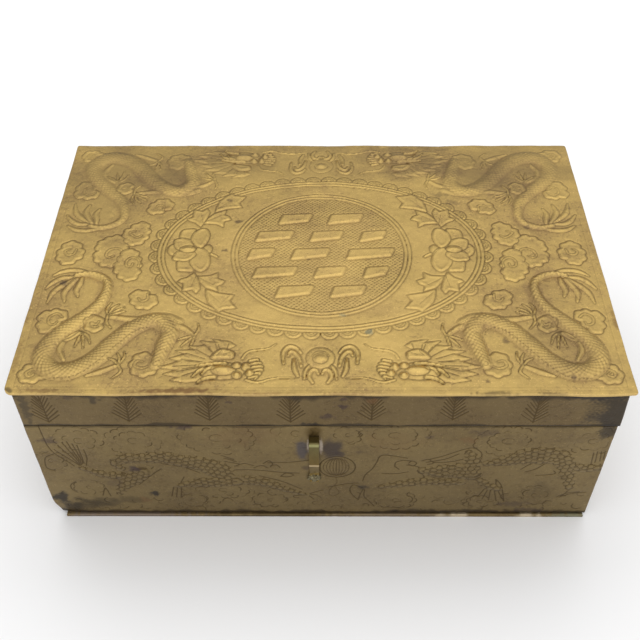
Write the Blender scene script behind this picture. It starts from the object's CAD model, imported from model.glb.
# %% [markdown]
# # A chased sheet-brass box
# The real box is thin sheet brass. Its lid was worked from both sides with hammers and punches, which
# leaves raised dragons, clouds and peonies with a dark chased line at their foot. Its walls are only
# engraved, and a bent strap, all that is left of the fastening, is soldered to the front.
# This script dresses the solid model of the box: every sheet becomes a fine grid of points whose heights
# are worked out from the drawing, because fine relief has to be real mesh to keep its form from all sides.

# %% Load the solid model
import bpy
import bmesh
import numpy as np
from mathutils import Matrix, Vector


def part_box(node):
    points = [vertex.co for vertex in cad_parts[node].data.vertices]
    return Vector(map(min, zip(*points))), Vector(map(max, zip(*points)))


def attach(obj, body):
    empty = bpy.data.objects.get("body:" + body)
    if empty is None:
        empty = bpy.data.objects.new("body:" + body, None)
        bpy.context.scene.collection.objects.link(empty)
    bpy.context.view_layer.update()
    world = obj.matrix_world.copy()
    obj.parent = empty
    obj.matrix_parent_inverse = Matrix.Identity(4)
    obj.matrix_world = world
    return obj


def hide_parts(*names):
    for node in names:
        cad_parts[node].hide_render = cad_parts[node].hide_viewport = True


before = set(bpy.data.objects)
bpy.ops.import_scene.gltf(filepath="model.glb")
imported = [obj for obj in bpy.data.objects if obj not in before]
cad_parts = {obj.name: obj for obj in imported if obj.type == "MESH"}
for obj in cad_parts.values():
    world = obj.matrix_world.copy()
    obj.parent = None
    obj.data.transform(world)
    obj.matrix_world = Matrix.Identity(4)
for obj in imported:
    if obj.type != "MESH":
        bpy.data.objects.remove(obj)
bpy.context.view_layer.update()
MM = 0.001
plate_low, plate_high = (np.array(end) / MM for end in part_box("lid_plate"))
rim_low, rim_high = (np.array(end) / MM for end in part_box("lid_rim"))
wall_low, wall_high = (np.array(end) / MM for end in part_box("body_wall"))
base_low, base_high = (np.array(end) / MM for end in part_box("base_plate"))
print("plate", plate_low.round(1), plate_high.round(1))

# %% [markdown]
# ## Sizes
# Everything is drawn in millimetres and turned into metres only when a mesh is made. The outer sizes come
# from the solid model, so the dressing always fits it. The sheet is 1.1 mm thick and the walls stand
# 1.9 mm inside the edge of the plate.

# %% Sizes shared by the pieces
SHEET = 1.1
OVERHANG = 1.9
HALF_LENGTH = plate_high[0]
HALF_WIDTH = plate_high[1]
PLATE_TOP = plate_low[2] + SHEET
WALL_X = HALF_LENGTH - OVERHANG
WALL_Y = HALF_WIDTH - OVERHANG
FAR = 3.0
LID_STEP = 0.447
FRONT_STEP = 0.41
OTHER_STEP = 0.62
RIM_STEP = 0.36
SHARP_ANGLE = 62
print("plate top at", PLATE_TOP, "wall at", WALL_X, WALL_Y)

# %% [markdown]
# ## Lines
# A chaser draws with a few smooth lines. Catmull-Rom curves pass through every point they are given, so
# an outline needs only a point where it turns. The same points serve all four corners of the lid: the
# real maker used one drawing, turned over for the other side and for the back.

# %% Smooth lines and where they go
BACK_SHIFT = 4.9
BACK_SQUEEZE = 0.945


def flowing(points, closed=False, steps=5):
    """A smooth line through the points."""
    points = np.array(points, float)
    if closed:
        padded = np.vstack([points[-1:], points, points[:2]])
    else:
        padded = np.vstack([2 * points[0] - points[1], points, 2 * points[-1] - points[-2]])
    shares = np.linspace(0, 1, steps, endpoint=False)[:, None]
    line = []
    for before, start, end, after in zip(padded[:-3], padded[1:-2], padded[2:-1], padded[3:]):
        bend = 2 * before - 5 * start + 4 * end - after
        twist = -before + 3 * start - 3 * end + after
        line.append(start + 0.5 * shares * (end - before + shares * (bend + shares * twist)))
    line.append(points[:1] if closed else points[-1:])
    return np.vstack(line)


def corner(side, back=False):
    """Carries a drawing of the front right corner to one of the four corners."""
    def place(points):
        points = np.array(points, float).reshape(-1, 2)
        across = BACK_SHIFT - BACK_SQUEEZE * points[:, 1] if back else points[:, 1]
        return np.column_stack([side * points[:, 0], across])
    return place


def run_along(line):
    """How far along a line each of its points is."""
    return np.concatenate([[0], np.cumsum(np.hypot(*np.diff(line, axis=0).T))])


def at_run(line, run, reaches):
    """The places at some distances along a line."""
    return np.column_stack([np.interp(reaches, run, line[:, axis]) for axis in (0, 1)])


def arc(middle, radius, first, last, count=9):
    """Points along part of a circle, or of an oval where two radii are given."""
    turn = np.radians(np.linspace(first, last, count))
    wide, tall = np.broadcast_to(radius, 2)
    return np.column_stack([middle[0] + wide * np.cos(turn), middle[1] + tall * np.sin(turn)])


def smooth(value, low, high):
    """Rises softly from 0 at low to 1 at high."""
    share = np.clip((value - low) / (high - low), 0, 1)
    return share * share * (3 - 2 * share)


def waves(x, y, pitch, seed, count=14):
    """Gentle unevenness of a hand-worked sheet, between about -1 and 1."""
    dice = np.random.default_rng(seed)
    total = np.zeros(np.shape(x))
    for turn, shift, stretch in dice.random((count, 3)):
        angle = 2 * np.pi * turn
        run = (x * np.cos(angle) + y * np.sin(angle)) * 2 * np.pi / pitch
        total += np.sin(run * (0.6 + 0.8 * stretch) + 2 * np.pi * shift)
    return total / np.sqrt(count)


print("a line through 3 points has", len(flowing([(0, 0), (1, 2), (2, 0)])), "places")

# %% [markdown]
# ## Where a place lies
# Every shape on the box is a line or an outline, so all that has to be known of a place is how far it is
# from a line, how far along it, on which side, and whether an outline goes round it.

# %% Distances and widths
def beside(x, y, line, halves):
    """For each place: distance to a line, how far along it, on which side, and the half width there."""
    nearest = np.full(x.shape, np.inf)
    along, across, half = np.zeros((3, *x.shape))
    passed = 0
    for start, end, first, last in zip(line[:-1], line[1:], halves[:-1], halves[1:]):
        run = end - start
        length = max(np.hypot(*run), 1e-9)
        share = np.clip(((x - start[0]) * run[0] + (y - start[1]) * run[1]) / length ** 2, 0, 1)
        off_x = x - start[0] - share * run[0]
        off_y = y - start[1] - share * run[1]
        away = np.hypot(off_x, off_y)
        closer = away < nearest
        nearest = np.where(closer, away, nearest)
        along = np.where(closer, passed + share * length, along)
        across = np.where(closer, away * np.sign(run[0] * off_y - run[1] * off_x), across)
        half = np.where(closer, first + (last - first) * share, half)
        passed += length
    return nearest, along, across, half


def enclosed(x, y, line):
    """Which places a closed line goes round."""
    inside = np.zeros(x.shape, bool)
    for start, end in zip(line[:-1], line[1:]):
        if start[1] == end[1]:
            continue
        crossing = start[0] + (y - start[1]) / (end[1] - start[1]) * (end[0] - start[0])
        inside ^= ((start[1] > y) != (end[1] > y)) & (x < crossing)
    return inside


def spread(values, count):
    """The values stretched evenly over a number of places."""
    values = np.array(values, float)
    return np.interp(np.linspace(0, 1, count), np.linspace(0, 1, len(values)), values)


def scale_bumps(along, across, pitch=2.0):
    """Staggered scales: bumps in rows that are offset by half."""
    return np.cos(along * 2 * np.pi / pitch) * np.cos(across * 2 * np.pi / pitch)


print("widths 1 to 3 over five places:", spread((1, 3), 5))

# %% [markdown]
# ## A sheet that can be worked
# Displacement in the material would be lost when the model is exported, and sculpting can't be repeated.
# So a sheet here is a grid of places with a height at each. Shapes are laid on it in the order a chaser
# would work: a later shape covers the earlier ones, and leaves a chased line round its foot. Besides the
# height, each place keeps how far it is from the nearest chased line, which the material turns into the
# dark line. A distance stays sharp between two places of the grid, where a painted mask would blur.

# %% The sheet
OUTLINE_OUT = 0.32
LINE_HALF = 0.52
LINE_DEPTH = 0.20
VALLEY_LINE = 0.20
SHOW_THROUGH = 0.55
SCALE_EDGE = (0.2, 1.2)
STAIN_EDGE = (1.3, 0.5)
GRIME_EDGE = (1.25, 0.6)
GRIME_WAVES = ((0.45, 31), (0.25, 7))
HAND_WAVES = ((1.0, 17), (0.3, 5))
WHOLE = (slice(None), slice(None))


class Sheet:
    """A panel of brass as a grid of places, worked shape by shape."""

    def __init__(self, xs, ys):
        self.x, self.y = np.meshgrid(xs, ys, indexing="ij")
        self.height = np.zeros(self.x.shape)
        self.away = np.full(self.x.shape, FAR)
        self.ground = np.zeros(self.x.shape)
        self.stain = np.zeros((*self.x.shape, 4))

    def around(self, line, margin):
        """The part of the grid near a line, as slices."""
        low = np.min(line, axis=0) - margin
        high = np.max(line, axis=0) + margin
        rows = np.searchsorted(self.x[:, 0], (low[0], high[0]))
        columns = np.searchsorted(self.y[0], (low[1], high[1]))
        return slice(*rows), slice(*columns)

    def lay(self, part, inside, rise, outline=OUTLINE_OUT, faint=0.0):
        """Lays a raised shape over what is there. inside is how deep a place is in its outline."""
        covered = inside > 0
        line = np.abs(inside + outline) + faint
        height = self.height[part]
        away = self.away[part]
        self.height[part] = np.where(covered, np.maximum(rise, height * SHOW_THROUGH), height)
        self.away[part] = np.where(covered, line, np.minimum(away, line))

    def plate(self, outline, height, rim=1.1, dip=0.25, weight=OUTLINE_OUT, grow=0.0, faint=0.0):
        """A leaf, petal or cloud: a rounded rim round a slightly hollow middle."""
        outline = np.vstack([outline, outline[:1]])
        part = self.around(outline, FAR)
        x, y = self.x[part], self.y[part]
        away = beside(x, y, outline, np.zeros(len(outline)))[0]
        inside = np.where(enclosed(x, y, outline), away, -away) + grow
        rise = height * smooth(inside, -0.3 * rim, rim) * (1 - dip * smooth(inside, rim, rim * 3))
        self.lay(part, inside, rise, weight, faint)

    def band(self, line, widths, height, scales=0, weight=OUTLINE_OUT, faint=0.0):
        """A rounded band along a line, such as a limb, a claw or a scaled body."""
        halves = spread(widths, len(line)) / 2
        part = self.around(line, FAR + halves.max())
        away, along, across, half = beside(self.x[part], self.y[part], line, halves)
        inside = half - away
        rise = height * np.clip(1 - (away / np.maximum(half, 0.05)) ** 2, 0, 1)
        bumps = scale_bumps(along, across)
        self.lay(part, inside, rise + scales * bumps * smooth(inside, *SCALE_EDGE), weight, faint)
        if scales:
            valleys = np.minimum(self.away[part], VALLEY_LINE + (1 + bumps) / 2)
            self.away[part] = np.where(inside > SCALE_EDGE[0], valleys, self.away[part])

    def dome(self, middle, half, height, weight=OUTLINE_OUT):
        """An oval swelling."""
        outline = arc(middle, half, 0, 342, 20)
        self.plate(outline, height, rim=min(np.atleast_1d(half)), dip=0, weight=weight)

    def cut(self, line, faint=0.0):
        """A chased line with nothing raised. A faint one is shallower and thinner."""
        part = self.around(line, FAR)
        away = beside(self.x[part], self.y[part], line, np.zeros(len(line)))[0]
        self.away[part] = np.minimum(self.away[part], away + faint)

    def tint(self, part, colour, share):
        """Lays a see-through colour over a part of the sheet."""
        old = self.stain[part]
        total = 1 - (1 - old[..., 3]) * (1 - share)
        weight = (share / np.maximum(total, 1e-6))[..., None]
        mixed = old[..., :3] + (np.array(colour) - old[..., :3]) * weight
        self.stain[part] = np.concatenate([mixed, total[..., None]], axis=-1)

    def spot(self, place, size, colour, strength, seed=1, ragged=0.30):
        """A stain with an uneven edge."""
        place = np.array(place, float)
        size = np.broadcast_to(size, 2)
        part = self.around([place - size, place + size], max(size))
        x, y = self.x[part], self.y[part]
        reach = np.hypot((x - place[0]) / size[0], (y - place[1]) / size[1])
        uneven = waves(x, y, 1.2 * min(size) + 1.5, seed) + 0.4 * waves(x, y, 1.6, seed + 1)
        self.tint(part, colour, strength * smooth(reach + ragged * uneven, *STAIN_EDGE))

    def grime(self, level, reach, colour, strength, seed):
        """Dirt along a level edge, deeper in some places than in others."""
        flat = np.zeros(self.y.shape)
        uneven = [size * waves(self.x, flat, pitch, seed + number)
                  for number, (size, pitch) in enumerate(GRIME_WAVES)]
        depth = np.maximum(reach * (1 + uneven[0] + uneven[1]), 0.2)
        self.tint(WHOLE, colour, strength * smooth(np.abs(self.y - level) / depth, *GRIME_EDGE))

    def finish(self, unevenness, seed, depth=LINE_DEPTH, half=LINE_HALF):
        """Presses the chased lines in and adds the unevenness of hand work."""
        self.height -= depth * (1 - smooth(self.away, 0, half))
        for number, (size, pitch) in enumerate(HAND_WAVES):
            self.height += unevenness * size * waves(self.x, self.y, pitch, seed + number)


def stained(sheet, spots, seed, ragged=0.30):
    """Lays a row of spots, each given as place, size, colour and strength."""
    for number, spot in enumerate(spots):
        sheet.spot(*spot, seed=seed + 2 * number, ragged=ragged)


def toned(spots, colour):
    """The same colour given to spots that have only a place, a size and a strength."""
    return [(middle, size, colour, strength) for middle, size, strength in spots]


print("a chased line is", 2 * LINE_HALF, "mm wide and", LINE_DEPTH, "mm deep")

# %% [markdown]
# ## The corner dragon
# Each corner of the lid holds a dragon seen from above: an S-shaped scaled body, four clawed limbs, a
# flaming tail and a face turned to the pearl in the middle. Body and limbs are tapered bands along smooth
# lines, which keep their width right where they bend. The mane is one jagged outline, as in the original.

# %% Body, limbs and tail
BODY_LINE = (
    (64, -63.5), (62, -54), (60.6, -46), (66, -39.8), (74.5, -43.3), (82, -52), (88, -60.5), (96, -66.2),
    (104, -66.2), (108.6, -60.5), (107.6, -53), (103, -45.6), (97, -39), (91.6, -31.5), (89.4, -24),
    (90, -18), (93.4, -14.4), (98.6, -12.8), (103.6, -14),
)
BODY_WIDTHS = (5, 7, 7.6, 8, 8.2, 8.4, 8.6, 8.8, 8.6, 8.2, 8, 7.6, 6.8, 5.6, 4.4, 3.7, 3.4, 3.0, 2.0)
BODY_HEIGHT = 1.25
SCALE_HEIGHT = 0.26
LIMB_HEIGHT = 0.7
CLAW_HEIGHT = 0.42
BACK_RELIEF = 0.62
LIMBS = (
    (((58, -41), (64, -38.6), (75, -39.6), (86.4, -37.6)), (5.2, 5.4, 3.4, 1.8)),
    (((100.2, -61), (103, -55), (101.5, -50), (96.4, -46.4)), (1.2, 3.0, 2.6, 1.6)),
    (((90, -69.4), (84.8, -67), (79, -64)), (0.6, 2.6, 1.6)),
    (((60, -42), (54.6, -44.4), (50.8, -48)), (3.4, 2.4, 1.6)),
)
CLAWS = (
    ((86.8, -37), (87.6, -33.5), (86.2, -30.2)), ((86.4, -37), (85.4, -33.5), (83, -31)),
    ((86.2, -37.2), (83.4, -34.6), (80.6, -32.8)), ((86, -37.6), (83, -36), (80, -35)),
    ((86.8, -37.4), (86.6, -41), (84.4, -44.2)), ((96, -46.2), (93, -48.5), (91.4, -52.4)),
    ((95.6, -46.6), (94.4, -50.5), (93.8, -54.8)), ((95.8, -46.8), (96.4, -50.8), (97.2, -54.2)),
    ((96.2, -47), (99, -49.8), (101.6, -51.4)), ((78.4, -63.6), (76.8, -60), (77, -56.9)),
    ((78.6, -63.4), (78.4, -60.4), (79.6, -57.8)), ((79, -63.4), (80.4, -61.4), (82.6, -60.4)),
    ((78.4, -63.8), (77, -67), (79.8, -70.2)), ((50.2, -48.3), (49, -45), (49.4, -41.6)),
    ((50.8, -48.5), (53.6, -49.2), (56.6, -50.6)), ((50.6, -48.9), (53, -51.4), (55, -54)),
    ((50.2, -49), (50.8, -51.6), (51.6, -54.4)),
)
CLAW_WIDTHS = (0.9, 1.15, 0.6)
TAIL_FLAMES = (
    ((97.5, -12.6), (104.2, -10.6), (109.6, -11.2), (113.6, -14)),
    ((104, -15), (109.2, -15.4), (112.5, -17.8), (115.2, -21.8)),
    ((104, -16), (108.6, -20), (111.6, -24), (113.0, -30)),
    ((103, -16), (105.6, -20.4), (107, -24.4), (105.9, -29.4)),
    ((101, -15.6), (101.4, -19), (102.2, -22.6), (101, -26.4)),
)
FLAME_WIDTHS = (1.2, 2.2, 2.2, 0.5)
FIN_LINE = (
    (65.5, -49), (66.5, -45.5), (70, -44.2), (75, -47), (81, -54.4), (86.6, -62.2), (94, -69.2),
    (104, -70.6),
)
FIN_PITCH = 1.5
FIN_HALF = 0.3


def back_fins(sheet, place):
    """The row of short ticks along the dragon's back."""
    line = place(flowing(FIN_LINE))
    run = run_along(line)
    for reach in np.arange(FIN_PITCH, run[-1], FIN_PITCH):
        sheet.cut(at_run(line, run, [reach - FIN_HALF, reach + FIN_HALF]), faint=0.05)


def dragon_body(sheet, place, relief):
    """Relief is how boldly the dragon is raised: the two at the back are worn lower."""
    for flame in TAIL_FLAMES:
        sheet.band(flowing(place(flame)), FLAME_WIDTHS, CLAW_HEIGHT, faint=0.08)
    for joints, widths in LIMBS:
        sheet.band(place(flowing(joints)), widths, LIMB_HEIGHT * relief, faint=0.12)
    body = place(flowing(BODY_LINE))
    sheet.band(body, BODY_WIDTHS, BODY_HEIGHT * relief, scales=SCALE_HEIGHT * relief, faint=0.16)
    back_fins(sheet, place)
    for claw in CLAWS:
        sheet.band(flowing(place(claw)), CLAW_WIDTHS, CLAW_HEIGHT, weight=0.15, faint=0.05)


print("one dragon has", len(LIMBS), "limbs and", len(CLAWS), "claws")

# %% [markdown]
# ## The dragon's head
# The head is seen from above, with round eyes, a bulging forehead, a pleated ear, horns and two long
# whiskers. Small rounded domes and bands are enough: at this size the maker used three or four punches.

# %% Head, mane and whiskers
MANE = (
    (33.5, -53.5), (36, -51.5), (42.5, -50.4), (40.5, -52.2), (47.5, -51.2), (45, -53.4), (51.5, -54),
    (49, -55.6), (56.8, -56.3), (52.6, -57.8), (58.8, -60.3), (54.5, -61.4), (62.5, -64.8), (55, -65.8),
    (60.4, -68), (54.4, -69.6), (57.4, -71), (51.2, -72.3), (46, -71.5), (44, -66), (41, -60), (38, -56.5),
)
MANE_ROOT = (38, -63)
HAIR_SHARES = ((0.10, 0.45), (0.22, 0.62))
EAR = (
    (33.8, -57.3), (35.8, -56), (38.8, -55.6), (41.5, -57.5), (42.8, -60.2), (40, -60.8), (36.7, -60.4),
    (34.2, -60),
)
EAR_PLEATS = (((35, -57.4), (38, -58.6)), ((34.8, -59.2), (38, -59.4)), ((38.6, -56.6), (40.6, -59.4)))
SKULL = ((38, -66.6), (8.6, 4.2), 0.8)
HEAD_DOMES = (
    ((37.4, -66.4), (4.6, 2.5), 1.5), ((32.4, -63.9), (1.7, 1.6), 1.4), ((32.1, -68.8), (1.7, 1.6), 1.4),
    ((28.8, -64.4), (1.6, 2.0), 1.2), ((27.2, -67.6), (1.5, 1.6), 1.2),
)
HORNS = (
    ((43.8, -65.2), (46.6, -66.4), (49.0, -69.6)), ((41.5, -64.8), (44, -66), (45.6, -68.6)),
    ((40.6, -69.8), (44, -70.4), (47, -72.6)), ((37, -63), (42, -63), (48, -64.2)),
)
WHISKER_LINES = (
    ((30.4, -60.2), (29.2, -57.7), (27, -56.2), (23.3, -55.6), (20, -54.8), (17.5, -52.7)),
    ((28.5, -71), (25, -72.2), (22, -71.8), (19.6, -70.8), (15, -69.9), (10, -70.2)),
)
BEARD_TUFTS = 6


def beard(sheet, place):
    """Small curls in front of the nose."""
    for level in np.linspace(-61.5, -70, BEARD_TUFTS):
        bulge = 2.2 * np.sin((level + 61) / 9.5 * np.pi)
        curl = ((27.5 + bulge * 0.2, level), (24.8 + bulge, level + 0.7), (25.4 + bulge, level - 0.8))
        sheet.band(flowing(place(curl)), (1.0, 1.2, 0.6), 0.5, weight=0.2)


def mane(sheet, place):
    """One jagged outline with a hair from each of its points towards the root."""
    sheet.plate(place(MANE), 0.35, rim=0.8, dip=0.1, faint=0.08)
    for number, tip in enumerate(np.array(MANE[1:17])):
        ends = [tip + (np.array(MANE_ROOT) - tip) * share for share in HAIR_SHARES[number % 2]]
        sheet.cut(place(ends), faint=0.02)


def dragon_head(sheet, place):
    mane(sheet, place)
    sheet.plate(flowing(place(EAR), closed=True), 0.8, rim=0.9)
    for pleat in EAR_PLEATS:
        sheet.cut(place(pleat), faint=0.1)
    for line in WHISKER_LINES:
        sheet.band(flowing(place(line)), (1.1, 0.9, 0.5), 0.35, weight=0.15, faint=0.08)
    beard(sheet, place)
    sheet.dome(place(SKULL[0])[0], *SKULL[1:])
    for horn in HORNS:
        sheet.band(flowing(place(horn)), (1.8, 1.4, 0.7), 1.0, weight=0.2)
    for middle, half, height in HEAD_DOMES:
        sheet.dome(place(middle)[0], half, height)


print("the mane has", len(MANE), "corners")

# %% [markdown]
# ## Clouds
# Curling clouds fill the ground between the dragons. Each is an outline with a rounded rim and a shallow
# hollow, the shape a small hammer leaves when a motif is raised from behind, and a short curl chased inside
# it. The lobes of the edge are added by a function, so the outline itself needs few points.

# %% Clouds
CLOUD_HEIGHT = 0.42
LOBE_TUCK = 0.08
CORNER_CLOUDS = (
    (((104.2, -68), (107, -65.4), (109.6, -63.2), (112, -62.8), (114.6, -64.6), (116.2, -68),
      (115.4, -71.2), (112, -72.8), (108.4, -71.6), (105.4, -70)),
     ((107, -68.6), (108.4, -66.4), (111.2, -66), (113.2, -67.8), (112.2, -69.6), (110.2, -68.8),
      (111, -67.8))),
    (((62.9, -66.3), (62.9, -68), (66, -69), (70.8, -69), (73.2, -66.2), (74.4, -63), (72.9, -60),
      (71.4, -57.6), (69, -56.6), (66.6, -57.4), (66.8, -61)),
     ((66.6, -64.4), (69, -65.4), (72, -64.2), (71.2, -61.6), (69, -62))),
    (((102.9, -36.4), (104.8, -34.3), (108, -33.6), (111.6, -34.8), (114.4, -35.6), (115, -38.4),
      (114.2, -40.6), (114, -44.2), (112.4, -46.6), (109.4, -47.4), (106.6, -43.4)),
     ((105, -38.4), (107.4, -36.4), (110.2, -38.2), (110, -41.4), (107.8, -42.6), (106.6, -41))),
    (((67.4, -28), (67.9, -31.2), (70.2, -33), (73.4, -33.6), (76.3, -31.8), (78.4, -30), (79, -26.3),
      (78.4, -22.8), (76.2, -22), (72, -24.4)),
     ((72, -25), (71.8, -28), (74, -29.2), (75.6, -27.4))),
)
LOOP_CLOUD = (
    ((89.6, -37.6), (88.4, -41), (87.8, -43.6), (89.6, -46.6), (93.6, -45.4), (95.4, -42.6), (94, -38.6)),
    ((89.6, -40.6), (90.6, -42.4), (92.6, -41.4), (91.8, -43.6), (89.8, -43.6)),
)
MIDDLE_CLOUDS = (
    (((88.3, 12.2), (90.8, 12.6), (93.6, 10.8), (96.4, 9), (98.4, 6.4), (98.4, 3.6), (97.6, 1.6),
      (98.8, -1.3), (98.2, -4.4), (95.6, -6.6), (92.9, -8.4), (90.2, -9.4), (87.9, -8), (86.4, -4), (84, 2),
      (85, 8)),
     ((86.7, -1.4), (87, 1.8), (89.4, 2.8), (92.2, 1.6), (93.3, -1.3), (91.6, -3), (89.8, -1.8))),
    (((76.7, 16.6), (77.5, 19.9), (79.8, 21), (82.5, 19.9), (84.6, 17.4), (87, 15.3), (88.3, 12.6),
      (86.8, 10.3), (86.3, 7), (84.6, 5.2), (81.4, 4.9), (78.8, 6.6), (76.4, 10.6)),
     ((79.4, 11.4), (81.3, 10.0), (83.6, 11.6), (85, 13.4), (82.6, 14.4))),
    (((79.2, -1.3), (80.4, 2.2), (83, 3.6), (86.2, 1.4), (87, -4), (88.8, -10), (87.6, -12.4),
      (85.4, -14.6), (83.6, -17.2), (81.0, -18), (78.6, -16.4), (77.2, -13.4), (77.6, -10.6), (77.4, -6)),
     ((78.3, -8.8), (78, -6), (79.6, -3.6), (82, -3), (83.8, -5.2), (83.4, -8), (81.4, -8.6),
      (80.8, -6.6))),
    (((104.6, 3.6), (102.9, 0.8), (103.6, -2.6), (105.8, -4.9), (107.6, -7.4), (110.4, -6.8), (113.8, -4.7),
      (114.8, -1.3), (113.9, 2), (113, 5.8), (110.8, 8), (108, 8.2), (106.2, 6.2)),
     ((106.7, 2.4), (107.4, -0.6), (110, -1.2), (111.4, 1), (109.6, 2.6))),
)


def lobed(outline, pitch=4.6, bulge=0.30, steps=5):
    """A closed outline redrawn as round lobes, like the edge of a curling cloud."""
    outline = np.vstack([outline, outline[:1]])
    run = run_along(outline)
    knots = at_run(outline, run, np.linspace(0, run[-1], int(round(run[-1] / pitch)) + 1))
    middle = knots[:-1].mean(axis=0)
    knots += (middle - knots) * LOBE_TUCK
    shares = np.arange(steps)[:, None] / steps
    places = []
    for start, end in zip(knots[:-1], knots[1:]):
        chord = end - start
        outward = np.array([chord[1], -chord[0]])
        outward *= np.sign(outward @ (start + end - 2 * middle))
        places.append(start + shares * chord + outward * bulge * np.sin(np.pi * shares))
    return np.vstack(places)


def cloud(sheet, place, drawing):
    outline, curl = drawing
    sheet.plate(lobed(flowing(place(outline), closed=True)), CLOUD_HEIGHT, rim=0.8, dip=0.3, faint=0.02)
    sheet.band(flowing(place(curl)), (0.6, 0.9, 0.6), 0.45, weight=0.2, faint=0.08)


print(len(CORNER_CLOUDS), "clouds in a corner,", len(MIDDLE_CLOUDS), "at each end")

# %% [markdown]
# ## Peonies
# A peony stands at each end of the medallion. Its petals overlap, so they are laid from the outside in, and
# the leaves above the flower are the leaves below it turned over.

# %% Peonies and their leaves
PETAL_HEIGHT = 0.42
LEAF_HEIGHT = 0.36
BUD_HEIGHT = 0.45
STEM_HEIGHT = 0.6
EYE_HEIGHT = 0.75
PETALS = (
    ((55.8, 15.5), (58.6, 15.9), (61.4, 15), (62.4, 12.4), (61.8, 8.8), (58, 7), (55.4, 10)),
    ((63, 5.8), (65.4, 5.6), (66.9, 2.6), (65.4, -0.8), (62.6, -1.4), (61.4, 2.4)),
    ((54.6, -10.9), (57.6, -11.2), (60.6, -11.1), (61.6, -8.6), (61.7, -4.5), (58, -2.5), (55, -5)),
    ((56, 5.2), (58, 8.5), (61.3, 9.6), (64.4, 8.6), (64.2, 5.4), (62.5, 2.4), (58.6, 1.4)),
    ((51.3, 2.6), (48.8, -0.6), (47.8, -5), (48.5, -8.8), (51, -11.4), (54.2, -9.6), (56.4, -5.4),
     (56, -0.5), (54, 3.5)),
    ((50, 14.5), (51.6, 16.3), (54.2, 15.6), (56.5, 12.4), (57, 9), (55.4, 5.6), (52.3, 3.6), (50, 7.4),
     (49.3, 11.2)),
    ((54.4, -0.6), (55.6, -3.2), (57.9, -4.8), (61.3, -4.9), (64, -3.6), (63.4, -0.8), (61.4, 1.4),
     (57, 1.4)),
)
PEONY_EYE = ((58, 2.5), (3.3, 2.1))
LEAVES = (
    ((53.3, -13.8), (51.7, -14.3), (46.7, -13.8), (43.8, -11.9), (43.8, -15.5), (40.6, -16.9),
     (41.6, -18.9), (43.8, -20), (43.2, -23.2), (48.3, -20.9), (51, -17.6)),
    ((53.8, -12), (56.7, -15), (59.2, -16.1), (60.2, -17.3), (57.9, -18.4), (57.6, -23.4), (53.8, -22.2),
     (52, -24.5), (50.6, -21.8), (51.4, -17.8)),
    ((48, -22), (42.5, -24.3), (36.1, -25.3), (37.7, -28.5), (34.8, -33), (40, -33.6), (41.4, -35.1),
     (44.2, -32.3), (46.5, -29.4), (47.6, -26)),
)
LEAF_VEINS = (((52, -15), (45, -19.6)), ((53, -14.5), (54.4, -21)), ((47, -24), (41, -30.5)))
BUD = ((47.6, 3.6), (49.6, 5.5), (52, 3), (50.8, 0.8), (48.6, -0.8))
STEM = ((48.6, 0), (46.8, -1), (45, -2.2))
LEAF_TURN = 5.5


def leaf_side(place, over):
    """The leaves above the flower are those under it turned over."""
    def turned(points):
        points = np.array(points, float).reshape(-1, 2)
        if over:
            points = np.column_stack([points[:, 0], LEAF_TURN - points[:, 1]])
        return place(points)
    return turned


def peony(sheet, place):
    for over in (False, True):
        turned = leaf_side(place, over)
        for outline in LEAVES:
            sheet.plate(turned(outline), LEAF_HEIGHT, rim=0.7, dip=0.4)
        for vein in LEAF_VEINS:
            sheet.cut(turned(vein), faint=0.10)
    sheet.band(flowing(place(STEM)), (1.2, 0.8), STEM_HEIGHT)
    sheet.plate(flowing(place(BUD), closed=True), BUD_HEIGHT)
    for outline in PETALS:
        sheet.plate(flowing(place(outline), closed=True), PETAL_HEIGHT, rim=0.75, dip=0.5)
    middle, half = PEONY_EYE
    sheet.dome(place(middle)[0], half, EYE_HEIGHT)
    sheet.cut(arc(place(middle)[0], np.array(half) * 0.55, 0, 360, 13), faint=0.2)


print("a peony has", len(PETALS), "petals and", 2 * len(LEAVES), "leaves")

# %% [markdown]
# ## Medallion, oval band and flaming pearl
# A round double band holds the emblem on a punched ground, and a wider oval band with a lace of scallops
# goes round both. The emblem is rows of broad flat strokes with bevelled sides. Scallops and strokes come
# from loops, so they are even; the scallops are spaced by the length of the oval, not by its angle.

# %% The medallion
RING_MIDDLE = (0.2, 0.8)
RING_RADIUS = 37.6
OVAL_MIDDLE = (0.0, 1.5)
OVAL_HALF = (69.5, 46.4)
BAND_HEIGHT = 0.28
RIDGE_OFFSET = 0.85
RIDGE_HALF = 0.8
SCALLOPS = 52
SCALLOP_RADIUS = 3.5
SCALLOP_OUT = 1.6
SCALLOP_HEIGHT = 0.28
INNER_SCALLOP = 1.8
TICK_RADIUS = 2.8
TICKS = 5
OVAL_STEPS = 721
OVAL_TURNS = np.linspace(0, 2 * np.pi, OVAL_STEPS)
OVAL_RUN = run_along(arc(OVAL_MIDDLE, OVAL_HALF, 0, 360, OVAL_STEPS))
EMBLEM_HEIGHT = 0.5
EMBLEM_BEVEL = 0.7
EMBLEM_ROUND = 0.9
EMBLEM_ROWS = (
    (23, ((-19, -4), (3, 19))), (11.5, ((-29, -12), (-5, 10), (17, 29))),
    (0, ((-32, -20), (-13, 4), (11, 32))), (-11.5, ((-29, -10), (-3, 11), (18, 29))),
    (-23, ((-19, -3), (4, 19))),
)
EMBLEM_WIDTHS = (6.6, 5.4)
EMBLEM_CLEAR = (0.5, 1.0)
PUNCHED_EDGE = (1.6, 2.2)
EMBLEM_SLANT = 1.4


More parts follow.
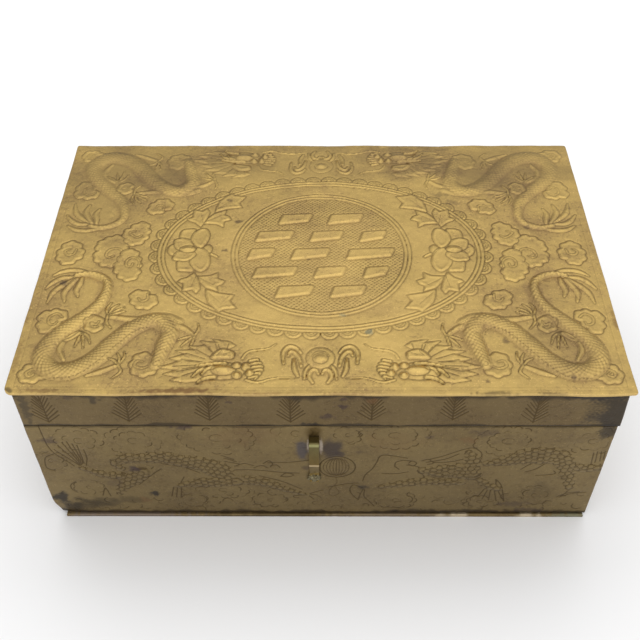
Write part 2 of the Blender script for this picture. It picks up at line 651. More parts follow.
def double_band(sheet, middle, half):
    """Two ridges side by side with a line between and beside them."""
    reach = np.hypot((sheet.x - middle[0]) / half[0], (sheet.y - middle[1]) / half[1])
    away = (reach - 1) * np.hypot(sheet.x - middle[0], sheet.y - middle[1]) / np.maximum(reach, 0.1)
    for offset in (-RIDGE_OFFSET, RIDGE_OFFSET):
        inside = RIDGE_HALF - np.abs(away - offset)
        rise = BAND_HEIGHT * np.sqrt(np.clip(inside / RIDGE_HALF, 0, 1))
        sheet.lay(WHOLE, inside, rise, 0.05)
    return away


def oval_place(step, reach=0.0):
    """A place beside the oval band, a number of evenly spaced scallops round it."""
    turn = np.interp((step + 0.5) / SCALLOPS * OVAL_RUN[-1], OVAL_RUN, OVAL_TURNS)
    return np.array([OVAL_MIDDLE[0] + (OVAL_HALF[0] + reach) * np.cos(turn),
                     OVAL_MIDDLE[1] + (OVAL_HALF[1] + reach) * np.sin(turn)])


def scallop(sheet, step):
    """A half circle on the band with a smaller one and short ticks inside it."""
    middle = oval_place(step, SCALLOP_OUT)
    ahead = oval_place(step + 0.1, SCALLOP_OUT) - middle
    turn = np.degrees(np.arctan2(ahead[1], ahead[0]))
    sheet.plate(arc(middle, SCALLOP_RADIUS, turn - 180, turn, 13), SCALLOP_HEIGHT, rim=0.7, dip=0.5)
    inner = arc(middle, INNER_SCALLOP, turn - 172, turn - 8, 9)
    sheet.band(inner, (0.6, 0.6), SCALLOP_HEIGHT, weight=0.2, faint=0.05)
    for angle in np.linspace(turn - 150, turn - 30, TICKS):
        sheet.cut(arc(middle, TICK_RADIUS, angle - 4, angle + 4, 2), faint=0.15)


def medallion(sheet):
    for step in range(SCALLOPS):
        scallop(sheet, step)
    double_band(sheet, OVAL_MIDDLE, OVAL_HALF)
    ring_away = double_band(sheet, RING_MIDDLE, (RING_RADIUS, RING_RADIUS))
    sheet.ground = smooth(-ring_away, *PUNCHED_EDGE)
    for level, ends in EMBLEM_ROWS:
        for left, right in ends:
            emblem_stroke(sheet, level, left, right)


def emblem_stroke(sheet, level, left, right):
    """A broad flat stroke, wider at its left end and with slanting ends and rounded corners."""
    inset = EMBLEM_ROUND
    low = level - EMBLEM_SLANT / 2
    high = level + EMBLEM_SLANT / 2
    first, last = np.array(EMBLEM_WIDTHS) / 2 - inset
    core = np.array([(left + inset, low - first), (right - inset - EMBLEM_SLANT, high - last),
                     (right - inset, high + last), (left + inset + EMBLEM_SLANT, low + first)])
    sheet.plate(core, EMBLEM_HEIGHT, rim=EMBLEM_BEVEL, dip=0.05, weight=0.4, grow=inset)
    outline = np.vstack([core, core[:1]])
    part = sheet.around(core, FAR)
    x, y = sheet.x[part], sheet.y[part]
    away = beside(x, y, outline, np.zeros(len(outline)))[0]
    low, high = inset + np.array(EMBLEM_CLEAR)
    sheet.ground[part] *= smooth(np.where(enclosed(x, y, outline), 0, away), low, high)


print(SCALLOPS, "scallops round an oval", round(float(OVAL_RUN[-1])), "mm long")

# %% [markdown]
# ## The flaming pearl
# A pearl in flames lies before and behind the oval, between two dragons: a dome inside a ring, with curling
# flames on both sides. One half is drawn and turned over.

# %% The flaming pearl
PEARL_MIDDLE = (0, -60)
PEARL_RING = (5.4, 5.4)
PEARL_HALF = (2.9, 2.6)
FLAME_HEIGHT = 0.55
PEARL_FLAMES = (
    ((7.4, -64.2), (8.3, -60), (10.2, -57.2), (11.8, -56.8), (12.6, -59)),
    ((14.3, -62.7), (14.6, -57.4), (12.4, -54.0), (9.4, -54.8), (7.6, -57.4)),
    ((8.6, -69.2), (10, -65.4), (10.4, -60.6)), ((4.2, -63.8), (5.6, -66.6), (6.2, -70.4)),
    ((2.9, -72.3), (4.3, -69.4), (3.6, -66.6), (1.8, -65.8), (0.7, -68)),
)


def flaming_pearl(sheet, back):
    place = corner(1, back)
    middle = place(PEARL_MIDDLE)[0]
    for side in (1, -1):
        for flame in PEARL_FLAMES:
            sheet.band(flowing(corner(side, back)(flame)), (0.8, 1.6, 1.5, 0.7), FLAME_HEIGHT)
    sheet.dome(middle, PEARL_RING, 0.6)
    sheet.cut(place(arc(PEARL_MIDDLE, 3.6, 10, 170)), faint=0.05)
    sheet.dome(middle - (0, 0.4), PEARL_HALF, 0.9, weight=0.2)


print("the pearl has", 2 * len(PEARL_FLAMES), "flames")

# %% [markdown]
# ## Edges of a sheet
# A panel is a grid with its edges turned down and a plain back, so it is a closed sheet with a real
# thickness. The edge stations are extra rows of the same grid: they keep the rounding smooth and cost very
# few faces.

# %% Edges of a panel
EDGE_RADIUS = 0.35
LOWER_BEVEL = 0.15


def rounded(radius, sheet=SHEET, turn=90, count=4, under=0.4):
    """An edge as steps outward and down: an arc, the thickness of the sheet and a step under it."""
    angles = np.radians(np.linspace(0, turn, count + 1)[1:])
    steps = [(radius * np.sin(angle), radius * (1 - np.cos(angle))) for angle in angles]
    if turn == 90:
        steps.append((radius, sheet - LOWER_BEVEL))
        steps.append((radius - under, sheet))
    else:
        steps.append((radius - sheet, sheet))
    return radius, steps


def straight(sheet=SHEET):
    """A plain cut edge, used where two halves of a sheet meet."""
    return 0.0, [(0.0, sheet)]


def stations(low, high, step, first, last):
    """Places along one side of a panel and how far each has dropped."""
    start = low + first[0]
    end = high - last[0]
    inner = np.linspace(start, end, int(round((end - start) / step)) + 1)
    before = [(start - out, drop) for out, drop in first[1]][::-1]
    after = [(end + out, drop) for out, drop in last[1]]
    places, drops = zip(*before, *((place, 0) for place in inner), *after)
    return np.array(places), np.array(drops)


print("a panel 10 mm wide has", len(stations(0, 10, 0.5, straight(), straight())[0]), "places across")

# %% [markdown]
# ## From a worked sheet to a mesh
# Numpy fills the mesh at once, because adding a hundred thousand faces one by one is slow. Each place also
# carries its distance from the chased line, its punched ground, its hollowness and its stain, so that the
# metal can follow the relief.

# %% Panels
def grid_faces(rows, columns):
    """Corner numbers of the quads of a grid, and its border as one more face."""
    index = np.arange(rows * columns).reshape(rows, columns)
    quads = np.stack([index[:-1, :-1], index[1:, :-1], index[1:, 1:], index[:-1, 1:]], axis=-1)
    border = np.concatenate([index[:-1, 0][::-1], index[0, 1:], index[1:, -1], index[-1, :-1][::-1]])
    return quads.reshape(-1, 4), np.concatenate([index[-1:, 0], border])[:-1]


def add_piece(name, mesh, material, replaced=None):
    """Puts a mesh in the scene as a piece that moves with the box."""
    mesh.materials.append(material)
    thing = bpy.data.objects.new(name, mesh)
    bpy.context.collection.objects.link(thing)
    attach(thing, "root")
    if replaced:
        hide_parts(replaced)
    print(name, "has", sum(len(face.vertices) - 2 for face in mesh.polygons), "triangles")


def mesh_of(shape, name):
    """Turns a bmesh into a mesh and lets the bmesh go."""
    mesh = bpy.data.meshes.new(name)
    shape.to_mesh(mesh)
    shape.free()
    return mesh


def panel(name, sheet, drop, to_space, material, replaced):
    """A piece of the box made from a worked sheet."""
    rows, columns = sheet.x.shape
    points = np.stack(to_space(sheet.x, sheet.y, sheet.height - drop), axis=-1).reshape(-1, 3) * MM
    quads, border = grid_faces(rows, columns)
    corners = np.concatenate([quads.ravel(), border])
    starts = np.concatenate([np.arange(len(quads)) * 4, [len(quads) * 4]])
    mesh = bpy.data.meshes.new(name)
    mesh.vertices.add(len(points))
    mesh.vertices.foreach_set("co", points.ravel())
    mesh.loops.add(len(corners))
    mesh.loops.foreach_set("vertex_index", corners)
    mesh.polygons.add(len(starts))
    mesh.polygons.foreach_set("loop_start", starts)
    mesh.update(calc_edges=True)
    mesh.validate()
    mesh.shade_smooth()
    mesh.set_sharp_from_angle(angle=np.radians(SHARP_ANGLE))
    for label, values in (("away", sheet.away), ("ground", sheet.ground), ("hollow", hollows(sheet))):
        mesh.attributes.new(label, "FLOAT", "POINT").data.foreach_set("value", values.ravel())
    colours = mesh.attributes.new("stain", "FLOAT_COLOR", "POINT")
    colours.data.foreach_set("color", sheet.stain.ravel())
    add_piece(name, mesh, material, replaced)


def softened(values, cells):
    """The values averaged over a square of cells, three times over."""
    for axis in (0, 1, 0, 1, 0, 1):
        padded = np.concatenate([np.repeat(np.take(values, [0], axis), cells, axis), values,
                                 np.repeat(np.take(values, [-1], axis), cells, axis)], axis)
        total = np.cumsum(padded, axis)
        width = 2 * cells
        values = (np.take(total, range(width, total.shape[axis]), axis)
                  - np.take(total, range(total.shape[axis] - width), axis)) / width
    return values


def hollows(sheet):
    """How much lower a place is than what is round it, in millimetres: below 0 on a crest."""
    return softened(sheet.height, 4) - sheet.height


print("a grid of 3 by 4 places has", len(grid_faces(3, 4)[0]), "faces on top")

# %% [markdown]
# ## Shader sums
# Materials are sums of noise, distances and stains. Written as nodes by hand they are hard to read, so a
# small class wraps a socket and makes a Math node for each operator, and one method makes every other node.

# %% Values and finishes
class Value:
    """One output socket that can be used in a sum."""

    def __init__(self, finish, socket):
        self.finish = finish
        self.socket = socket

    def maths(self, operation, first, second):
        return self.finish.node("ShaderNodeMath", {"operation": operation}, {0: first, 1: second})

    def __add__(self, other):
        return self.maths("ADD", self, other)

    __radd__ = __add__

    def __sub__(self, other):
        return self.maths("SUBTRACT", self, other)

    def __rsub__(self, other):
        return self.maths("SUBTRACT", other, self)

    def __mul__(self, other):
        return self.maths("MULTIPLY", self, other)

    __rmul__ = __mul__

    def between(self, low, high):
        """0 at low and 1 at high, with a soft rise."""
        return self.finish.node("ShaderNodeMapRange", {"interpolation_type": "SMOOTHSTEP"},
                                {0: self, 1: low, 2: high, 3: 0.0, 4: 1.0})


class Finish:
    """A material or a sky built from nodes."""

    def __init__(self, owner, shader="Principled BSDF"):
        owner.use_nodes = True
        self.owner = owner
        self.tree = owner.node_tree
        self.shader = self.tree.nodes[shader]

    def node(self, kind, settings, inputs, output=0):
        made = self.tree.nodes.new(kind)
        for name, value in settings.items():
            setattr(made, name, value)
        for name, value in inputs.items():
            self.feed(made.inputs[name], value)
        return Value(self, made.outputs[output])

    def feed(self, socket, value):
        if isinstance(value, Value):
            self.tree.links.new(value.socket, socket)
        else:
            socket.default_value = value

    def surface(self, name, value):
        self.feed(self.shader.inputs[name], value)

    def attribute(self, name, output=2):
        return self.node("ShaderNodeAttribute", {"attribute_name": name}, {}, output)

    def part(self, vector, axis):
        """One of the three numbers of a vector."""
        return self.node("ShaderNodeSeparateXYZ", {}, {0: vector}, axis)

    def place(self, stretch=(1, 1, 1)):
        """Where a point is on the object, in millimetres, stretched along the axes."""
        coordinates = self.node("ShaderNodeTexCoord", {}, {}, 3)
        scale = tuple(1 / MM / value for value in stretch)
        return self.node("ShaderNodeVectorMath", {"operation": "MULTIPLY"}, {0: coordinates, 1: scale})

    def noise(self, pitch, detail=3.0, roughness=0.55, stretch=(1, 1, 1)):
        """Cloudy noise whose patches are about as large as the pitch, in millimetres."""
        return self.node("ShaderNodeTexNoise", {}, {
            "Vector": self.place(stretch), "Scale": 1 / pitch, "Detail": detail, "Roughness": roughness})

    def mix(self, share, first, second):
        """From the first colour to the second."""
        first = first if isinstance(first, Value) else (*first, 1)
        second = second if isinstance(second, Value) else (*second, 1)
        return self.node("ShaderNodeMix", {"data_type": "RGBA"}, {0: share, 6: first, 7: second}, 2)

    def bump(self, height, distance, strength=1.0):
        """A height in millimetres turned into a tilt of the surface."""
        return self.node("ShaderNodeBump", {}, {
            "Strength": strength, "Distance": distance * MM, "Height": height})


def finish_of(name, metallic):
    """A new material, ready for its nodes."""
    finish = Finish(bpy.data.materials.new(name))
    finish.surface("Metallic", metallic)
    return finish


trial = finish_of("trial", 0.0)
trial.surface("Roughness", (1 - trial.noise(5)) * 0.5)
print("a material with one sum of noise and two numbers has", len(trial.tree.nodes), "nodes")
bpy.data.materials.remove(trial.owner)

# %% [markdown]
# ## Old brass
# The metal is yellow brass under a thin brown skin: bright where hands and cloths polish it, brown in the
# chased lines and hollows, with purple and black spots. Three brasses share one recipe. The lid is golden
# and satin, the walls and the rim are darker and more olive, as they hardly see a cloth. Fine pits and
# grains, about a millimetre across, give the dull skin of old brass.

# %% Brass finish
LINE_INK = (0.085, 0.054, 0.020)
GROUND_PITCH = (2.1, 1.8)
PATCH_PITCH = 26
STREAK_PITCH = 5
FRECKLE_PITCH = 2.4
PIT_PITCH = 1.5
GRAIN_PITCH = 0.9
GLEAM = 1.45
PIT_SHADE = 0.85


def old_brass(name, bright, brown, roughness, ink, edge, stippled=False):
    """Worn brass. Ink is how dark a chased line is, and edge where it starts and ends to fade."""
    finish = finish_of(name, 0.92)
    patches = finish.noise(PATCH_PITCH, 4)
    freckles = finish.noise(FRECKLE_PITCH, 4, 0.7)
    grain = finish.noise(GRAIN_PITCH, 3, 0.65)
    streaks = finish.noise(STREAK_PITCH, 3, 0.6, stretch=(9, 1, 1))
    pits = finish.noise(PIT_PITCH, 2, 0.5).between(0.56, 0.68) * patches.between(0.35, 0.60)
    line = 1 - finish.attribute("away").between(*edge)
    hollow = finish.attribute("hollow").between(0.0, 0.30)
    crest = 1 - finish.attribute("hollow").between(-0.22, -0.02)
    brownness = patches.between(0.38, 0.68) * 0.40 + freckles.between(0.5, 0.72) * 0.30
    brownness = brownness + hollow * 0.25 + streaks.between(0.45, 0.75) * 0.15 - crest * 0.2
    brownness = brownness + grain.between(0.35, 0.70) * 0.25
    colour = finish.mix(brownness.between(0.0, 1.0), bright, brown)
    colour = finish.mix(grain.between(0.54, 0.70) * 0.6, colour, tuple(GLEAM * value for value in bright))
    colour = finish.mix(pits * 0.55, colour, tuple(PIT_SHADE * value for value in brown))
    colour = finish.mix(line * ink, colour, LINE_INK)
    height = grain * 1.1 + finish.noise(3.5, 2) * 1.0 - pits * 0.8
    rough = roughness + freckles * 0.14 + hollow * 0.10
    if stippled:
        dots = punched_dots(finish)
        ground = finish.attribute("ground")
        colour = finish.mix(dots * ground * 0.50, colour, LINE_INK)
        height = height - dots * ground * 2.0
    colour = finish.mix(finish.attribute("stain", 3), colour, finish.attribute("stain", 0))
    finish.surface("Base Color", colour)
    finish.surface("Roughness", rough)
    finish.surface("Normal", finish.bump(height, 0.05))
    return finish.owner


def punched_dots(finish):
    """Rows of small round punch marks, 1 at the bottom of a mark."""
    place = finish.place((GROUND_PITCH[0], GROUND_PITCH[1], 1))
    shaken = finish.node("ShaderNodeVectorMath", {"operation": "ADD"}, {
        0: place, 1: finish.node("ShaderNodeTexNoise", {}, {"Vector": place, "Scale": 0.35}, 1)})
    across = finish.part(shaken, 0) * (2 * np.pi)
    along = finish.part(shaken, 1) * (2 * np.pi)
    rows = [finish.node("ShaderNodeMath", {"operation": "SINE"}, {0: turn}) for turn in (across, along)]
    return (rows[0] * rows[1]).between(0.0, 0.8)


LID_BRIGHT = (0.60, 0.416, 0.138)
LID_BROWN = (0.355, 0.231, 0.097)
WALL_BRIGHT = (0.225, 0.163, 0.071)
WALL_BROWN = (0.150, 0.104, 0.048)
RIM_BRIGHT = (0.175, 0.124, 0.056)
RIM_BROWN = (0.125, 0.084, 0.040)
lid_brass = old_brass("lid_brass", LID_BRIGHT, LID_BROWN, 0.30, 0.62, (0.08, 0.46), stippled=True)
wall_brass = old_brass("wall_brass", WALL_BRIGHT, WALL_BROWN, 0.38, 0.88, (0.10, 0.40))
rim_brass = old_brass("rim_brass", RIM_BRIGHT, RIM_BROWN, 0.38, 0.95, (0.10, 0.42))
print("finishes", lid_brass.name, wall_brass.name, rim_brass.name)

# %% [markdown]
# ## Stains on the lid
# The lid is brown where nothing rubs it, gold in the middle, where hands and cloths reach, and spotted with
# purple and green. Such marks belong to one place on one sheet, so they are laid on the grid, each with a
# place, a size and a strength, and not made from noise in the metal.

# %% Stains on the lid
PURPLE = (0.058, 0.038, 0.040)
RUSSET = (0.20, 0.105, 0.045)
BLACK = (0.030, 0.026, 0.024)
SOOT = (0.052, 0.038, 0.022)
RUBBED = (0.68, 0.48, 0.20)
BACK_WEAR = 0.13
GREEN_GREY = (0.22, 0.22, 0.145)
TARNISH = (0.175, 0.118, 0.062)
LID_TARNISH = (
    ((-92, 60), (36, 22), 0.32), ((90, 60), (36, 22), 0.32), ((-100, 30), (15, 26), 0.22),
    ((42, 66), (20, 12), 0.26), ((-40, 66), (20, 12), 0.24), ((-76, 50), (18, 9), 0.26),
    ((75, 52), (20, 9), 0.3), ((92, -30), (9, 16), 0.16), ((-70, -44), (14, 6), 0.15),
    ((98, -52), (13, 14), 0.2), ((0, 75), (60, 3), 0.25), ((103, 17), (14, 4), 0.14),
    ((-98, -60), (24, 16), 0.2), ((98, -66), (24, 8), 0.14), ((0, 60), (80, 12), 0.2),
    ((84, -54), (24, 18), 0.14), ((0, -78), (110, 4), 0.16),
)
POLISH = (0.80, 0.55, 0.19)
LID_POLISH = (
    ((0, -38), (48, 26), 0.26), ((0, 4), (36, 30), 0.3), ((-44, -20), (20, 24), 0.16),
    ((46, -18), (18, 24), 0.14),
)
LID_STAINS = (
    ((-108.5, -18.5), (2.0, 1.7), PURPLE, 0.7), ((-37, 21), (1.5, 1.3), PURPLE, 0.65),
    ((-42, 1.7), (1.2, 1.1), PURPLE, 0.6), ((-42, 35.5), (1.4, 1.1), PURPLE, 0.5),
    ((-5.5, -3.5), (1.1, 0.9), PURPLE, 0.45), ((73.5, -51), (1.3, 1.5), PURPLE, 0.55),
    ((92, 17), (1.4, 1.1), PURPLE, 0.5), ((55, 39.5), (4.0, 1.6), PURPLE, 0.3),
    ((60, 34), (3.0, 2.0), PURPLE, 0.3), ((-70, 30), (2.6, 2.0), RUSSET, 0.3),
    ((-26, 10), (1.5, 1.2), RUSSET, 0.3), ((19.4, -46.5), (1.5, 2.2), GREEN_GREY, 0.75),
    ((97, -70), (1.3, 0.9), PURPLE, 0.5), ((64, -72), (0.9, 0.8), PURPLE, 0.5),
    ((-54, -76.6), (14, 1.5), RUSSET, 0.75), ((67, -77.4), (8, 1.0), BLACK, 0.55),
    ((8, -77.8), (7, 0.7), RUSSET, 0.6), ((-106, -76.5), (6, 1.1), RUSSET, 0.4),
    ((88, -77.8), (5, 0.8), BLACK, 0.5), ((-20, -77.6), (9, 0.7), RUSSET, 0.35),
    ((119, -40), (0.8, 6), RUSSET, 0.4), ((-118.6, -60), (1.2, 9), RUSSET, 0.3),
    ((9, -37), (1.6, 0.8), GREEN_GREY, 0.5), ((-118.6, -76.4), (1.6, 1.6), BLACK, 0.6),
)
print(len(LID_TARNISH), "broad patches and", len(LID_STAINS), "spots on the lid")

# %% [markdown]
# ## The lid plate
# The plate is one sheet, but a mesh of it is easier to handle in two halves that meet in the middle. The
# whole drawing is laid on the grid of each half, and what lies off that grid is left out. At the back the
# relief is worn lower and its lines are fainter.

# %% Work the lid sheet
CORNER_ROUND = 1.3
DENTED_ROUND = 3.4
DROOP = 0.12
DROOP_REACH = 4
EDGE_WAVE = 0.22
EDGE_PITCH = 47
LID_STRETCH = 1.012
LID_UNDER = 3.0
WORN_FROM = (10, 65)
FRAME_X = 116.6
FRAME_ENDS = (-75, 74)
FRAME_LEVELS = (-75.9, -74.4, 74.2)


def frame_lines(sheet):
    """Faint lines drawn along the edges before the relief was raised."""
    for x in (-FRAME_X, FRAME_X):
        sheet.cut(np.array([(x, y) for y in FRAME_ENDS], float), faint=0.2)
    for y in FRAME_LEVELS:
        sheet.cut(np.array([(-FRAME_X, y), (FRAME_X, y)], float), faint=0.25)


def lid_drawing(sheet):
    frame_lines(sheet)
    medallion(sheet)
    for side in (1, -1):
        peony(sheet, corner(side))
        for drawing in MIDDLE_CLOUDS:
            cloud(sheet, corner(side), drawing)
        for back in (False, True):
            place = corner(side, back)
            for drawing in CORNER_CLOUDS:
                cloud(sheet, place, drawing)
            dragon_body(sheet, place, BACK_RELIEF if back else 1.0)
            cloud(sheet, place, LOOP_CLOUD)
            dragon_head(sheet, place)
    flaming_pearl(sheet, False)
    flaming_pearl(sheet, True)


def lid_space(x, y, height):
    """Puts the flat drawing in space, with rounded corners, a dented one and slightly wavy edges."""
    dented = (x < 0) & (y < 0)
    radius = np.where(dented, DENTED_ROUND, CORNER_ROUND)
    past_x = np.clip(np.abs(x) - (HALF_LENGTH - radius), 0, None)
    past_y = np.clip(np.abs(y) - (HALF_WIDTH - radius), 0, None)
    round_x = past_x * np.sqrt(1 - np.clip(past_y / radius, 0, 1) ** 2 / 2)
    round_y = past_y * np.sqrt(1 - np.clip(past_x / radius, 0, 1) ** 2 / 2)
    edge = np.minimum(HALF_LENGTH - np.abs(x), HALF_WIDTH - np.abs(y))
    droop = DROOP + EDGE_WAVE * waves(x, y, EDGE_PITCH, 3)
    droop *= np.exp(-np.clip(edge, 0, None) / DROOP_REACH)
    return (x - np.sign(x) * (past_x - round_x), y - np.sign(y) * (past_y - round_y),
            PLATE_TOP + height - droop)


def make_lid():
    seam = straight()
    edge = rounded(EDGE_RADIUS, under=LID_UNDER)
    ys, drop_y = stations(-HALF_WIDTH, HALF_WIDTH, LID_STEP * LID_STRETCH, edge, edge)
    for name, low, high, ends in (("lid_plate_left", -HALF_LENGTH, 0, (edge, seam)),
                                  ("lid_plate_right", 0, HALF_LENGTH, (seam, edge))):
        xs, drop_x = stations(low, high, LID_STEP, *ends)
        sheet = Sheet(xs, ys)
        lid_drawing(sheet)
        stained(sheet, toned(LID_TARNISH, TARNISH), seed=160)
        stained(sheet, toned(LID_POLISH, POLISH), seed=190)
        stained(sheet, LID_STAINS, seed=20)
        sheet.grime(-HALF_WIDTH, 0.25, RUBBED, 0.35, 61)
        sheet.away += BACK_WEAR * smooth(sheet.y, *WORN_FROM)
        sheet.finish(unevenness=0.10, seed=11)
        drop = np.maximum(drop_x[:, None], drop_y[None, :])
        panel(name, sheet, drop, lid_space, lid_brass, "lid_plate")


make_lid()

# %% [markdown]
# ## Engraving on the walls
# The walls aren't raised from behind: their dragons, clouds and pearl are only cut with a graver and a
# punch. A scaled body here is a band filled with staggered cells, and a cloud is two rows of short arcs
# that don't quite meet. All lines are cut into the same kind of sheet as the lid, so they catch the light.

# %% Punched scales and engraved clouds
SCALE_PITCH = 2.6
SCALE_RING = 0.45
SCALE_SQUARE = 3.0
SCALE_FAINT = 0.05
SWELL = 0.28
INNER_ROW = 0.6
FEWER_ARCS = 6
MISSING_ARCS = 0.12
CURL_SHARES = (0.22, 0.24)


def scaled_band(sheet, points, widths, swell=SWELL):
    """A low swelling covered with staggered cells, between a circle and a square in shape."""
    line = flowing(points)
    halves = spread(widths, len(line)) / 2
    part = sheet.around(line, FAR + halves.max())
    away, along, across, half = beside(sheet.x[part], sheet.y[part], line, halves)
    inside = half - away
    row = np.floor(along / SCALE_PITCH)
    offset = across + SCALE_PITCH / 2 * (row % 2) + 0.25 * np.sin(row * 2.3)
    column = np.round(offset / SCALE_PITCH)
    ring = (np.abs(along - (row + 0.5) * SCALE_PITCH) ** SCALE_SQUARE
            + np.abs(offset - column * SCALE_PITCH) ** SCALE_SQUARE) ** (1 / SCALE_SQUARE)
    size = SCALE_PITCH * (SCALE_RING + 0.05 * np.sin(row * 5.1 + column * 3.7))
    rings = np.abs(ring - size)
    covered = inside > 0
    sheet.height[part] = np.maximum(sheet.height[part], swell * smooth(inside, -0.5, 2.4))
    sheet.away[part] = np.where(covered, np.minimum(rings + SCALE_FAINT, FAR), sheet.away[part])


def engraved_cloud(sheet, middle, half, arcs, seed):
    """Two broken rows of scallops round a small curl."""
    dice = np.random.default_rng(seed)
    for share, count in ((1.0, arcs), (INNER_ROW, arcs - FEWER_ARCS)):
        radius = np.pi * sum(half) / 2 * share / count * 1.05
        for angle in np.arange(count) * 360 / count + dice.uniform(0, 20):
            swing = np.radians(angle)
            reach = share * dice.uniform(0.93, 1.07)
            place = np.array(middle) + np.array(half) * reach * (np.cos(swing), np.sin(swing))
            size = radius * dice.uniform(0.88, 1.12)
            missing = dice.uniform() < MISSING_ARCS
            faint = dice.uniform(-0.06, 0.20) + 0.3 * missing
            first, last = angle - dice.uniform(50, 80), angle + dice.uniform(40, 75)
            sheet.cut(arc(place, size, first, last, 6), faint)
    sheet.cut(arc(middle, np.array(half) * CURL_SHARES, 40, 300, 7), 0.05)


def strokes(sheet, lines, faint=-0.04):
    for line in lines:
        sheet.cut(flowing(line) if len(line) > 2 else np.array(line, float), faint)


print("a scale is", SCALE_PITCH, "mm long")

# %% [markdown]
# ## The long walls
# Front and back carry two dragons that face a pearl, under a row of clouds. Their heads, manes and claws
# are single strokes of the graver, so each is a line of two to seven points.

# %% Drawing on the long walls
LEFT_BODIES = (
    (((-101, 37), (-96, 34), (-90.4, 31.6), (-84, 31)), (3.0, 4.6, 6.2, 5.4)),
    (((-75, 34), (-80, 28.4), (-84.6, 23), (-87.6, 17)), (8.4, 8.6, 6.8, 3.2)),
    (((-84, 36.6), (-85, 41), (-80, 44), (-72, 43.6), (-65, 44.6), (-58, 42), (-50, 40), (-44, 36),
      (-39, 30.4)),
     (5, 7, 7.6, 7.4, 8.6, 9, 10.4, 12.6, 9)),
    (((-33, 28), (-24, 26), (-15, 20.6), (-6, 16.4)), (8, 6.8, 4.8, 2.4)),
    (((-61, 23.4), (-52, 25.6), (-44, 26.4), (-36, 27)), (3.4, 7.4, 8.4, 8)),
)
RIGHT_BODIES = (
    (((67, 29), (71, 24.4), (76.6, 21)), (4, 5.6, 4)),
    (((25, 22.4), (33, 24.6), (41, 26.4), (50, 26.8), (60, 26)), (3.4, 5.4, 6.4, 6.4, 5)),
    (((43.4, 35), (50, 34.4), (57, 35), (64, 32)), (6, 9.6, 11.4, 9)),
    (((64.6, 33), (64, 38), (63, 43.4), (60.6, 48.6)), (6, 6.4, 7.4, 4)),
    (((104.6, 39.6), (110, 37), (117, 37.6)), (4.6, 6.6, 5.4)),
    (((69.6, 40.4), (76, 42), (83, 45), (90, 46), (97, 45.4), (102, 40), (104.4, 32), (107, 22.6)),
     (5, 7.6, 11, 12.6, 12, 9.4, 7, 5)),
)
LEFT_LINES = (
    ((-112, 66), (-110.6, 50), (-103, 38)), ((-110, 47), (-114, 44), (-115, 37), (-112, 34.5)),
    ((-109, 50), (-100.6, 38)), ((-107, 53), (-100.4, 38.5)), ((-105, 55), (-100, 39)),
    ((-103, 55.4), (-99.6, 39.4)), ((-101, 54), (-99, 40)), ((-99.2, 53), (-98.6, 40)),
    ((-97, 50), (-96.8, 44), (-98, 38.5)), ((-67, 36), (-72, 31), (-78, 24)),
    ((-70, 37.4), (-75, 31), (-80.4, 25.5)), ((-60, 22), (-61, 14)), ((-61.6, 23), (-63, 14.4)),
    ((-63.4, 22), (-65, 15)), ((-58, 30), (-61, 23)), ((-95, 15.5), (-93, 21.4), (-91.6, 15)),
    ((-66.4, 40), (-58, 37.5), (-51, 33)), ((-40, 44), (-35, 41.4)), ((-40, 41.6), (-34, 39.8)),
    ((-41, 46), (-36, 43)), ((-36, 38), (-32, 40), (-28, 38.6)),
    ((-24, 40), (-21.4, 42), (-20, 39.6), (-21, 37.4)), ((-28, 37), (-24.6, 38.6), (-22, 36.6)),
    ((-21, 38.4), (-18.4, 38.8), (-17, 37)), ((-22, 40.6), (-12, 41.2), (-2, 43)),
    ((-40, 35), (-28, 35.4), (-18, 33.4), (-9, 33)), ((-30, 30), (-20, 26), (-10, 19), (-5, 17)),
    ((-26, 31), (-16, 26.4), (-8, 20.6)),
    ((-17, 30.4), (-14.6, 32.8), (-11.4, 31.6), (-14, 30), (-17, 30.4)), ((-5, 17), (-2, 18.6), (1, 20)),
    ((-5, 16.6), (-1.6, 16)), ((-5.4, 16), (-3, 12.6)), ((-7, 16), (-12, 15.4)),
)
RIGHT_LINES = (
    ((36, 44), (30, 45.6), (25, 45.8), (23.4, 41), (21.6, 36), (19, 32), (18, 27.4)),
    ((31, 38), (31.4, 41), (34.4, 42.4), (38, 42)), ((31, 38), (33, 35.8)),
    ((36.6, 40.4), (38, 42), (40, 40.4), (38.6, 38.4), (36.8, 39.6)), ((36, 39), (40.4, 38), (43, 35.6)),
    ((42, 42), (44.6, 43), (47, 40.6), (44.6, 39.4)), ((45, 43), (52, 46.4), (58, 50)),
    ((44, 41), (52, 43.6), (57, 47)), ((47, 41), (54, 41.4), (59, 43)),
    ((58, 50), (62, 51.4), (66, 48), (66.6, 42)), ((41, 37), (43, 32.6), (44, 30)),
    ((26, 33), (32, 32.6), (37, 34)), ((75, 28), (77.4, 24), (79, 18), (80.4, 11.4)),
    ((74.6, 28.4), (75.4, 23)), ((76, 21), (80.4, 11)), ((75, 20), (77, 11.4)), ((73.4, 20), (73.6, 12)),
    ((72, 20), (70.6, 13)), ((70.6, 21), (68.4, 15)),
    ((18, 22), (14, 24), (12.6, 20), (14, 16), (16.4, 12.4)), ((18.4, 21), (17, 16), (16.6, 12.6)),
    ((19, 20.6), (19, 15), (22, 10), (23.6, 7)), ((16, 25.6), (10, 24.6), (3, 22.4)),
    ((103, 15), (107, 18), (112, 19)), ((104, 14.6), (108.6, 17.4), (115, 18.6)), ((108, 22), (104.6, 15)),
    ((112, 48), (112.6, 40)), ((113.4, 49), (114, 41)), ((115, 49), (115.8, 42)), ((116.6, 48), (117, 43)),
    ((84, 36), (88, 40), (92, 39.6)), ((86, 34), (90, 36), (93.4, 40)),
    ((91, 31.6), (96, 32), (99, 33), (98, 35)),
)
PEARL = ((7, 37.5), (7.6, 7.6))
FLUTES = np.linspace(-0.78, 0.66, 9)
